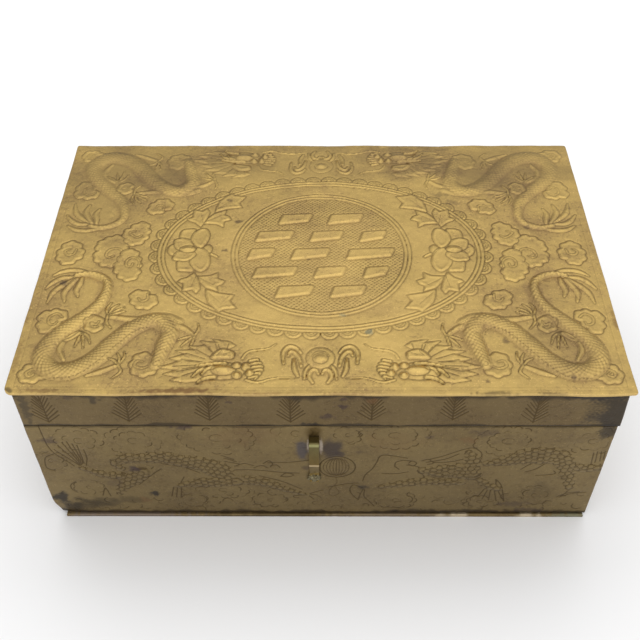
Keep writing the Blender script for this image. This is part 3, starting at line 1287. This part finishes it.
FLUTE_HEIGHT = 0.84
PEARL_LOOP = ((6.4, 29.6), (7, 26), (4.2, 21), (3.6, 17), (5.6, 15.4), (8, 18), (6.2, 23))
LONG_CLOUDS = (
    ((-98, 56), (8.6, 8.4), 15), ((-76, 56), (9.6, 8.2), 16), ((-42, 58), (13.4, 9.8), 20),
    ((-10, 61), (8.4, 8), 14), ((11, 60), (4.4, 5), 10), ((30, 60), (12.6, 8), 18),
    ((76, 56), (12.4, 8.4), 18), ((110, 56), (9, 7.6), 15), ((-112, 42), (5, 5.6), 10),
    ((-42, 20), (10, 5), 15), ((-56, 12), (5, 4), 9), ((93, 16), (5.6, 6), 11), ((70, 11), (7, 4), 11),
    ((33, 12), (7, 5), 10), ((-22, 12), (6, 4), 9), ((-100, 22), (5, 4), 8),
)
LONG_WAVES = ((15, 38), (8, 44))
LONG_HALF = 116


def melon_pearl(sheet):
    """A pearl drawn like a melon, with flutes that meet above and below."""
    middle, half = PEARL
    sheet.cut(arc(middle, half, 0, 360, 25), -0.08)
    for share in FLUTES:
        size = (half[0] * abs(share), half[1] * FLUTE_HEIGHT)
        sheet.cut(arc(middle, size, 90, 270 if share < 0 else -90, 9), 0.04)
    sheet.cut(flowing(PEARL_LOOP), 0.05)


def wave_strokes(sheet, half, seed, rows):
    """Small broken arcs of water and cloud along the foot of the wall."""
    dice = np.random.default_rng(seed)
    for level, count in rows:
        for x in np.linspace(-half + 4, half - 4, count):
            middle = (x + dice.uniform(-2, 2), level + dice.uniform(-3.6, 3.6))
            size = dice.uniform(1.1, 2.6)
            first = dice.uniform(0, 360)
            sheet.cut(arc(middle, size, first, first + dice.uniform(70, 190), 5), dice.uniform(-0.05, 0.18))


def long_drawing(sheet):
    wave_strokes(sheet, LONG_HALF, 5, LONG_WAVES)
    for number, (middle, half, arcs) in enumerate(LONG_CLOUDS):
        engraved_cloud(sheet, middle, half, arcs, 40 + number)
    strokes(sheet, LEFT_LINES)
    strokes(sheet, RIGHT_LINES)
    for points, widths in LEFT_BODIES + RIGHT_BODIES:
        scaled_band(sheet, points, widths)
    melon_pearl(sheet)


print(len(LEFT_LINES) + len(RIGHT_LINES), "strokes and", len(LONG_CLOUDS), "clouds on a long wall")

# %% [markdown]
# ## The short walls
# The ends can't be seen in the photograph. They are given clouds and waves from the same graver, which is
# how such boxes are usually finished.

# %% Drawing on the short walls
SHORT_CLOUDS = (
    ((-45, 44), (12, 9), 18), ((0, 50), (14, 9), 20), ((45, 44), (12, 9), 18), ((-24, 20), (10, 7), 15),
    ((24, 20), (10, 7), 15),
)
SHORT_WAVES = ((32, 15), (10, 21))
SHORT_HALF = 74


def short_drawing(sheet):
    wave_strokes(sheet, SHORT_HALF, 9, SHORT_WAVES)
    for number, (middle, half, arcs) in enumerate(SHORT_CLOUDS):
        engraved_cloud(sheet, middle, half, arcs, 60 + number)


print(len(SHORT_CLOUDS), "clouds on a short wall")

# %% [markdown]
# ## Ferns on the rim
# The rim carries an engraved fern every 31.8 mm: a stem and eight barbs on each side that lean far out at
# the foot and stand up steeply at the top, cut with short straight strokes of the graver.

# %% Ferns
FERN_MARGIN = 11.8
FERN_PITCH = 31.8
FERN_SHIFT = -0.8
FERN_FOOT = 3.0
FERN_TOP = 20.6
FERN_BARBS = 8
FERN_ROOTS = 13.5
BARB_ANGLES = (43, 69)
BARB_LENGTHS = (7.2, 5.6)


def fern(sheet, x, seed):
    dice = np.random.default_rng(seed)
    lean = dice.uniform(-0.9, 0.9)
    foot = FERN_FOOT + dice.uniform(-1.2, 1.0)
    sheet.cut(np.array([(x, foot), (x + lean * 0.4, 11), (x + lean, FERN_TOP)]), -0.06)
    for number, rise in enumerate(np.linspace(0.4, FERN_ROOTS, FERN_BARBS)):
        share = number / (FERN_BARBS - 1)
        angle = np.radians(np.interp(share, (0, 1), BARB_ANGLES))
        reach = np.interp(share, (0, 1), BARB_LENGTHS)
        for side in (-1, 1):
            start = np.array([x + lean * share + side * 0.3, foot + rise])
            run = np.array([side * np.cos(angle), np.sin(angle)]) * reach * dice.uniform(0.88, 1.05)
            run *= min(1, (FERN_TOP - start[1]) / run[1])
            sheet.cut(np.array([start, start + run]), dice.uniform(-0.10, 0.06))


def fern_places(half):
    return np.arange(-half + FERN_MARGIN, half - FERN_MARGIN, FERN_PITCH) + FERN_SHIFT


print(len(fern_places(WALL_X)), "ferns on a long side")

# %% [markdown]
# ## Stains on the walls
# The worst dirt is at the lower left corner, at the right end of the rim, and round the staple. Grime also
# lies in a thin uneven band along the long edges, where a cloth can't reach.

# %% Stains on the walls
WALL_FOOT = wall_low[2]
WALL_TOP = wall_high[2]
RIM_FOOT = rim_low[2]
RIM_TOP = rim_high[2]
WALL_DIRT = ((WALL_FOOT, 1.9, SOOT, 0.78, 51), (WALL_TOP, 0.7, SOOT, 0.6, 53))
RIM_DIRT = ((0, 1.1, SOOT, 0.85, 57), (RIM_TOP - RIM_FOOT, 3.3, SOOT, 0.90, 59))
WALL_STAINS = (
    ((-110, 56), (3.4, 2.0), PURPLE, 0.55), ((-78, 36), (2.4, 2.0), PURPLE, 0.75),
    ((-72, 17), (2.2, 2.0), BLACK, 0.85), ((-113.4, 14), (3.2, 4.0), BLACK, 0.85),
    ((-110, 6), (5.5, 4.0), BLACK, 0.6), ((-77, 12), (2.6, 2.0), RUSSET, 0.5),
    ((-95, 10), (8, 4), SOOT, 0.5), ((-83, 12), (6, 3), SOOT, 0.4), ((-55, 65), (4.0, 1.4), PURPLE, 0.6),
    ((-104, 8), (8, 4), SOOT, 0.6), ((-88, 26), (4, 3), PURPLE, 0.25), ((-30, 60), (14, 6), RUSSET, 0.16),
    ((30, 55), (12, 6), RUSSET, 0.12), ((84, 9), (7, 2), PURPLE, 0.35), ((95, 20), (6, 6), SOOT, 0.2),
    ((114.5, 63), (4.6, 4.4), BLACK, 0.75), ((60, 57), (4, 1.6), RUSSET, 0.4),
    ((18, 22.5), (2.2, 1.4), BLACK, 0.6), ((16, 48.5), (1.6, 1.0), PURPLE, 0.35),
    ((66, 62), (5, 2.4), PURPLE, 0.35), ((44, 58.5), (2, 1.2), PURPLE, 0.4),
    ((72, 1.4), (46, 2.4), SOOT, 0.65), ((92, 4.4), (7, 1.6), PURPLE, 0.5),
)
LILAC = (0.098, 0.085, 0.088)
PLUM = (0.06, 0.045, 0.042)
UMBER = (0.13, 0.085, 0.03)
POLISHED = (0.50, 0.42, 0.34)
STAPLE_STAINS = (
    ((-7.6, 50), (2.8, 6.8), LILAC, 0.85), ((4.4, 50.5), (4.6, 7.0), PLUM, 0.85),
    ((8, 47), (2.4, 2.0), PLUM, 0.7), ((-2.6, 62), (3.6, 5.0), UMBER, 0.7),
    ((-6, 37), (1.8, 1.6), PURPLE, 0.5), ((-5.0, 53), (0.5, 4.4), POLISHED, 0.8),
    ((0.2, 52.4), (0.8, 5.0), POLISHED, 0.9),
)
RIM_STAINS = (
    ((114, 10), (9.5, 15), BLACK, 0.8), ((104, 18.6), (10, 2.0), BLACK, 0.75),
    ((-87, 16.4), (2.4, 2.0), BLACK, 0.6), ((3, 6), (2.8, 1.8), PURPLE, 0.6),
    ((9, 12.5), (1.9, 1.4), PURPLE, 0.7), ((9, 17), (1.3, 1.0), PURPLE, 0.6),
    ((20, 16), (2.2, 2.2), RUSSET, 0.45), ((-114.5, 12), (2.2, 10), BLACK, 0.5),
    ((-97, 18), (2.2, 1.2), PURPLE, 0.4), ((-35, 15), (1.2, 0.8), PURPLE, 0.5),
    ((-4, 1.0), (4.6, 1.2), BLACK, 0.7),
)
print(len(WALL_STAINS) + len(STAPLE_STAINS), "stains on the front wall,", len(RIM_STAINS), "on the rim")

# %% [markdown]
# ## Four walls and the rim
# A wall and the rim above it are each four panels whose ends turn 45 degrees, so two neighbours meet in a
# rounded corner. The lower left corner of the wall is knocked in, and the rim stands a little proud of the
# wall at its lower right corner, as on the real box. The front has the finest grid, since it is seen close.

# %% Place the walls
CORNER_RADIUS = 0.9
KNOCK_DEPTH = 2.6
KNOCK_HEIGHT = 16
KNOCK_REACH = 7.0
KNOCK_INWARD = 0.35
SPLAY = 0.8
SPLAY_START = 80
ENGRAVED_DEPTH = 0.12
ENGRAVED_HALF = 0.42


def knocked(x, y, z):
    """The left front corner of the wall, pushed in near the floor."""
    near = np.exp(-np.hypot(x + WALL_X, y + WALL_Y) / KNOCK_REACH) * (1 - smooth(z, 0, KNOCK_HEIGHT)) ** 2
    return x + KNOCK_DEPTH * near, y + KNOCK_DEPTH * KNOCK_INWARD * near, z


def splayed(x, y, z):
    """The right end of the rim, bent out a little at its lower edge."""
    share = smooth(x, SPLAY_START, WALL_X) * (1 - smooth(z, RIM_FOOT, RIM_TOP))
    return x + SPLAY * share, y, z


def wall_spaces(bend):
    """The four ways a flat panel is stood up: front, back, right and left."""
    return {
        "front": lambda u, v, out: bend(u, -WALL_Y - out, v),
        "back": lambda u, v, out: bend(-u, WALL_Y + out, v),
        "right": lambda u, v, out: bend(WALL_X + out, u, v),
        "left": lambda u, v, out: bend(-WALL_X - out, -u, v),
    }


def wall_sheet(half, low, high, step):
    """An unworked wall panel and how far its edges turn in."""
    corner_edge = rounded(CORNER_RADIUS, turn=45)
    level_edge = rounded(EDGE_RADIUS, under=0.0, count=3)
    us, drop_u = stations(-half, half, step, corner_edge, corner_edge)
    vs, drop_v = stations(low, high, step, level_edge, level_edge)
    return Sheet(us, vs), np.maximum(drop_u[:, None], drop_v[None, :])


def sides(front_step):
    """Each side's name, half length and grid step."""
    return (("front", WALL_X, front_step), ("back", WALL_X, OTHER_STEP),
            ("right", WALL_Y, OTHER_STEP), ("left", WALL_Y, OTHER_STEP))


def make_walls():
    """The front wall has all the stains, each other wall every third of them."""
    spaces = wall_spaces(knocked)
    for side, half, step in sides(FRONT_STEP):
        sheet, drop = wall_sheet(half, WALL_FOOT, WALL_TOP, step)
        if half == WALL_X:
            long_drawing(sheet)
        else:
            short_drawing(sheet)
        for dirt in WALL_DIRT:
            sheet.grime(*dirt)
        stained(sheet, WALL_STAINS if side == "front" else WALL_STAINS[::3], seed=70)
        if side == "front":
            stained(sheet, STAPLE_STAINS, seed=140, ragged=0.12)
        sheet.finish(0.06, 31, ENGRAVED_DEPTH, ENGRAVED_HALF)
        panel("wall_" + side, sheet, drop, spaces[side], wall_brass, "body_wall")


def make_rim():
    """The front strip has all the stains, each other strip every fourth of them."""
    spaces = wall_spaces(splayed)
    for side, half, step in sides(RIM_STEP):
        sheet, drop = wall_sheet(half, 0, RIM_TOP - RIM_FOOT, step)
        for number, x in enumerate(fern_places(half)):
            fern(sheet, x, number + 3)
        for dirt in RIM_DIRT:
            sheet.grime(*dirt)
        stained(sheet, RIM_STAINS if side == "front" else RIM_STAINS[::4], seed=110)
        sheet.finish(0.05, 41, ENGRAVED_DEPTH, ENGRAVED_HALF)
        space = spaces[side]
        panel("rim_" + side, sheet, drop, lambda u, v, out: space(u, v + RIM_FOOT, out),
              rim_brass, "lid_rim")


make_walls()
make_rim()

# %% [markdown]
# ## Base sheet
# The box stands on a flat sheet that sticks out 1.1 mm in front and stops short of the wall at the left.
# Nothing is drawn on it, so its grid is coarse: only its front lip shows, worn along its length and bright
# in a few small places on the right.

# %% Base
BASE_SHEET = base_high[2] - base_low[2]
BASE_STEPS = (1.0, 12.0)
BASE_ROUND = 0.45
GLINT = (0.62, 0.52, 0.36)
WORN_LIP = (0.225, 0.18, 0.145)
GLINTS = (
    ((-88, -77.4), (28, 1.4), WORN_LIP, 0.8), ((-20, -77.4), (30, 1.2), SOOT, 0.5),
    ((30, -77.4), (26, 1.2), WORN_LIP, 0.4), ((61, -77.2), (4.2, 0.9), GLINT, 0.75),
    ((53, -77.3), (2.2, 0.8), GLINT, 0.55), ((91, -77.2), (3.2, 0.9), GLINT, 0.8),
    ((97.5, -77.3), (1.5, 0.8), GLINT, 0.7), ((111, -77.4), (8, 1.6), GREEN_GREY, 0.75),
)


def make_base():
    edge = rounded(BASE_ROUND, sheet=BASE_SHEET, under=BASE_ROUND)
    xs, drop_x = stations(base_low[0], base_high[0], BASE_STEPS[0], edge, edge)
    ys, drop_y = stations(base_low[1], base_high[1], BASE_STEPS[1], edge, edge)
    sheet = Sheet(xs, ys)
    stained(sheet, GLINTS, seed=190)
    panel("base_sheet", sheet, np.maximum(drop_x[:, None], drop_y[None, :]),
          lambda x, y, height: (x, y, BASE_SHEET + height), wall_brass, "base_plate")


make_base()

# %% [markdown]
# ## Shape of the staple
# A narrow strip was bent out from the wall and back, and soldered at its foot. A path with small arcs at
# its bends carries a section with rounded edges: that keeps the thickness of the strip round each bend.

# %% Shape of the strap
strap_low, strap_high = (np.array(end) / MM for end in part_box("staple"))
STRAP_SHEET = 1.0
STRAP_ROUND = 0.22
BEND_RADIUS = 0.8
SHIN_FOOT = 35.2
SHIN_TOP = 44.3
STRAP_GAP = 0.3
STRAP_SHARP = 45


def bent_path(points, radius, count=5):
    """A path with its inner corners replaced by arcs."""
    points = np.array(points, float)
    path = [points[0]]
    for before, here, after in zip(points[:-2], points[1:-1], points[2:]):
        start = here + (before - here) / np.linalg.norm(before - here) * radius
        end = here + (after - here) / np.linalg.norm(after - here) * radius
        for share in np.linspace(0, 1, count):
            path.append((1 - share) ** 2 * start + 2 * share * (1 - share) * here + share ** 2 * end)
    path.append(points[-1])
    return np.array(path)


def rounded_section(width, thickness, radius, count=3):
    """The outline of the strip cut across: a rectangle with rounded corners."""
    corners = []
    for turn, side_x, side_y in ((0, 1, 1), (90, -1, 1), (180, -1, -1), (270, 1, -1)):
        middle = (side_x * (width / 2 - radius), side_y * (thickness / 2 - radius))
        corners.append(arc(middle, radius, turn, turn + 90, count))
    return np.vstack(corners)


def strap_path():
    """The middle of the strip's thickness from its foot to its top, as depth and height."""
    wall = -WALL_Y - STRAP_GAP
    face = strap_low[1] + STRAP_SHEET / 2
    foot = wall - STRAP_SHEET / 2
    top = strap_high[2] - STRAP_SHEET / 2
    bends = ((foot, strap_low[2]), (foot, SHIN_FOOT), (face, SHIN_TOP), (face, top), (wall, top))
    return bent_path(bends, BEND_RADIUS)


def strap_mesh():
    middle = (strap_low[0] + strap_high[0]) / 2
    path = strap_path()
    run = np.gradient(path, axis=0)
    run /= np.linalg.norm(run, axis=1)[:, None]
    across = np.column_stack([-run[:, 1], run[:, 0]])
    section = rounded_section(strap_high[0] - strap_low[0], STRAP_SHEET, STRAP_ROUND)
    strap = bmesh.new()
    rings = []
    for place, normal in zip(path, across):
        points = [(middle + u, place[0] + normal[0] * w, place[1] + normal[1] * w) for u, w in section]
        rings.append([strap.verts.new(Vector(point) * MM) for point in points])
    for first, second in zip(rings[:-1], rings[1:]):
        for index in range(len(section)):
            after = (index + 1) % len(section)
            strap.faces.new((first[index], first[after], second[after], second[index]))
    strap.faces.new(rings[0])
    strap.faces.new(rings[-1][::-1])
    bmesh.ops.recalc_face_normals(strap, faces=strap.faces)
    mesh = mesh_of(strap, "staple_strap")
    mesh.shade_smooth()
    mesh.set_sharp_from_angle(angle=np.radians(STRAP_SHARP))
    return mesh


strap_run = run_along(strap_path())
print("the strap was", round(float(strap_run[-1]), 1), "mm long before it was bent")

# %% [markdown]
# ## Finish of the strap
# The upright face is olive, the strip below it is golden brown, and the two bends are rubbed pale. All of
# it changes with the height over the floor, so the colours are mixed by that one number.

# %% Put the strap on the wall
STRAP_TOP = 58.6
STRAP_KNEE = 44.5
STRAP_OLIVE = (0.15, 0.125, 0.050)
STRAP_BROWN = (0.175, 0.115, 0.030)
STRAP_GOLD = (0.25, 0.165, 0.036)
STRAP_DIRT = (0.10, 0.075, 0.03)
KNEE_SHINE = (0.72, 0.55, 0.31)
TOP_SHINE = (0.40, 0.38, 0.17)


def strap_metal():
    """Olive on the upright face, golden brown below the bend, and pale where the bends are rubbed."""
    finish = finish_of("strap_brass", 0.95)
    level = finish.part(finish.place(), 2)
    cloudy = finish.noise(3, 4, 0.65)
    face = finish.mix(level.between(STRAP_KNEE, STRAP_TOP), STRAP_BROWN, STRAP_OLIVE)
    colour = finish.mix(level.between(STRAP_KNEE - 0.3, STRAP_KNEE), STRAP_GOLD, face)
    colour = finish.mix(cloudy.between(0.4, 0.7) * 0.4, colour, STRAP_DIRT)
    over_knee = level.between(STRAP_KNEE + 0.2, STRAP_KNEE + 1.0)
    over_top = level.between(STRAP_TOP + 0.3, STRAP_TOP + 0.7)
    knee = level.between(STRAP_KNEE - 1.0, STRAP_KNEE - 0.2) - over_knee
    top = level.between(STRAP_TOP - 1.2, STRAP_TOP - 0.5) - over_top
    colour = finish.mix(knee * 0.8, colour, KNEE_SHINE)
    colour = finish.mix(top * 0.7, colour, TOP_SHINE)
    finish.surface("Base Color", colour)
    finish.surface("Roughness", 0.26 + cloudy * 0.15)
    finish.surface("Normal", finish.bump(finish.noise(1.0, 3), 0.05))
    return finish.owner


add_piece("staple_strap", strap_mesh(), strap_metal(), "staple")

# %% [markdown]
# ## Solder
# The foot of the strap sits in a lump of dull solder with an uneven skin. A ball pressed oval and roughened
# by two sizes of waves has that shape. The lump isn't a piece of the solid model, so it replaces nothing.

# %% Solder
SOLDER_MIDDLE = (-2.6, -WALL_Y - 0.8, 31.2)
SOLDER_HALF = (2.4, 1.0, 3.0)
SOLDER_WAVES = ((0.16, 2.2), (0.08, 0.9))
SOLDER_PALE = (0.30, 0.26, 0.15)
SOLDER_DARK = (0.09, 0.07, 0.035)
SOLDER_PITCH = 0.8


def solder_metal():
    """Dull metal, cloudy and finely grained."""
    finish = finish_of("solder", 0.95)
    cloudy = finish.noise(SOLDER_PITCH, 4, 0.65)
    finish.surface("Base Color", finish.mix(cloudy.between(0.35, 0.65), SOLDER_PALE, SOLDER_DARK))
    finish.surface("Roughness", 0.38 + cloudy * 0.2)
    finish.surface("Normal", finish.bump(finish.noise(SOLDER_PITCH * 0.3, 3), 0.06))
    return finish.owner


def solder_mesh():
    lump = bmesh.new()
    bmesh.ops.create_icosphere(lump, subdivisions=5, radius=1)
    places = np.array([tuple(point.co) for point in lump.verts])
    x, z = places[:, 0] * 3, places[:, 2] * 3
    rough = 1
    for number, (size, pitch) in enumerate(SOLDER_WAVES):
        rough = rough + size * waves(x, z, pitch, 8 + number)
    for point, place, share in zip(lump.verts, places, rough):
        point.co = Vector(np.array(SOLDER_MIDDLE) + place * SOLDER_HALF * share) * MM
    mesh = mesh_of(lump, "solder")
    mesh.shade_smooth()
    return mesh


add_piece("solder", solder_mesh(), solder_metal())

# %% [markdown]
# ## Camera
# The camera stands where the photographer stood. Its place, tilt and focal length were worked out from the
# long edges and corners of the box in the photograph, so that the model covers the same part of it.

# %% Camera
CAMERA_PLACE = np.array([1.6, -295.3, 362.0])
CAMERA_PITCH = 46.909
CAMERA_YAW = -0.404
CAMERA_ROLL = -0.269
FOCAL_PIXELS = 923.36
PICTURE_PIXELS = 640
SENSOR = 36.0
CLIP_START = 0.01


def make_camera():
    pitch, yaw, roll = np.radians([CAMERA_PITCH, CAMERA_YAW, CAMERA_ROLL])
    ahead = Vector((np.sin(yaw) * np.cos(pitch), np.cos(yaw) * np.cos(pitch), -np.sin(pitch)))
    right = ahead.cross(Vector((0, 0, 1))).normalized()
    up = right.cross(ahead)
    turned_right = right * np.cos(roll) + up * np.sin(roll)
    turned_up = up * np.cos(roll) - right * np.sin(roll)
    turn = Matrix((turned_right, turned_up, -ahead)).transposed().to_4x4()
    data = bpy.data.cameras.new("camera")
    data.sensor_width = SENSOR
    data.lens = FOCAL_PIXELS / PICTURE_PIXELS * SENSOR
    data.clip_start = CLIP_START
    camera = bpy.data.objects.new("camera", data)
    camera.matrix_world = Matrix.Translation(Vector(CAMERA_PLACE * MM)) @ turn
    bpy.context.collection.objects.link(camera)
    bpy.context.scene.camera = camera


make_camera()
print("camera at", CAMERA_PLACE)

# %% [markdown]
# ## Floor and lights
# The photograph shows the box on white, in soft light. Here the sky does most of the lighting:
# it is brightest above the front of the box and dim low behind it, so a slope that faces the camera is
# light and one that faces away is dark, as in the photograph. One weak softbox behind brings out the floor.

# %% Floor and lights
PAPER = (0.83, 0.83, 0.835)
PAPER_SHADE = (0.80, 0.80, 0.805)
BRIGHT_SIDE = (0.12, -0.30, 0.94)
LOW_LIGHT = 0.28
HIGH_LIGHT = 1.38
DIM_BELOW = -0.2
FLOOR_HALF = 6
PAPER_PITCH = 180
SOFTBOX_PLACE = (-0.1, 0.9, 1.5)
SOFTBOX_AIM = (0, 0.2, 0)
SOFTBOX_SIZE = (2.0, 1.2)
SOFTBOX_POWER = 12


def make_floor():
    plane = bmesh.new()
    bmesh.ops.create_grid(plane, x_segments=1, y_segments=1, size=FLOOR_HALF)
    mesh = mesh_of(plane, "floor")
    floor = bpy.data.objects.new("floor", mesh)
    bpy.context.collection.objects.link(floor)
    finish = finish_of("paper", 0.0)
    finish.surface("Base Color", finish.mix(finish.noise(PAPER_PITCH, 2) * 0.1, PAPER, PAPER_SHADE))
    finish.surface("Roughness", 0.8)
    mesh.materials.append(finish.owner)


def make_softbox():
    """A broad lamp behind the box that no metal mirrors."""
    data = bpy.data.lights.new("softbox", "AREA")
    data.shape = "RECTANGLE"
    data.size, data.size_y = SOFTBOX_SIZE
    data.energy = SOFTBOX_POWER
    light = bpy.data.objects.new("softbox", data)
    light.location = SOFTBOX_PLACE
    light.rotation_euler = (Vector(SOFTBOX_AIM) - Vector(SOFTBOX_PLACE)).to_track_quat("-Z", "Y").to_euler()
    light.visible_glossy = False
    bpy.context.collection.objects.link(light)


def make_world():
    """Light from all round, brightest high up in front of the box and weakest low behind it."""
    world = bpy.data.worlds.new("studio")
    bpy.context.scene.world = world
    sky = Finish(world, "Background")
    direction = sky.node("ShaderNodeTexCoord", {}, {})
    facing = sky.node("ShaderNodeVectorMath", {"operation": "DOT_PRODUCT"}, {
        0: direction, 1: Vector(BRIGHT_SIDE).normalized()}, "Value")
    sky.surface("Strength", sky.node("ShaderNodeMapRange", {}, {
        0: facing, 1: DIM_BELOW, 2: 1.0, 3: LOW_LIGHT, 4: HIGH_LIGHT}))
    sky.surface("Color", (1.0, 1.0, 1.0, 1.0))


make_floor()
make_world()
make_softbox()
bpy.context.scene.view_settings.view_transform = "Standard"
print("light from", LOW_LIGHT, "to", HIGH_LIGHT)
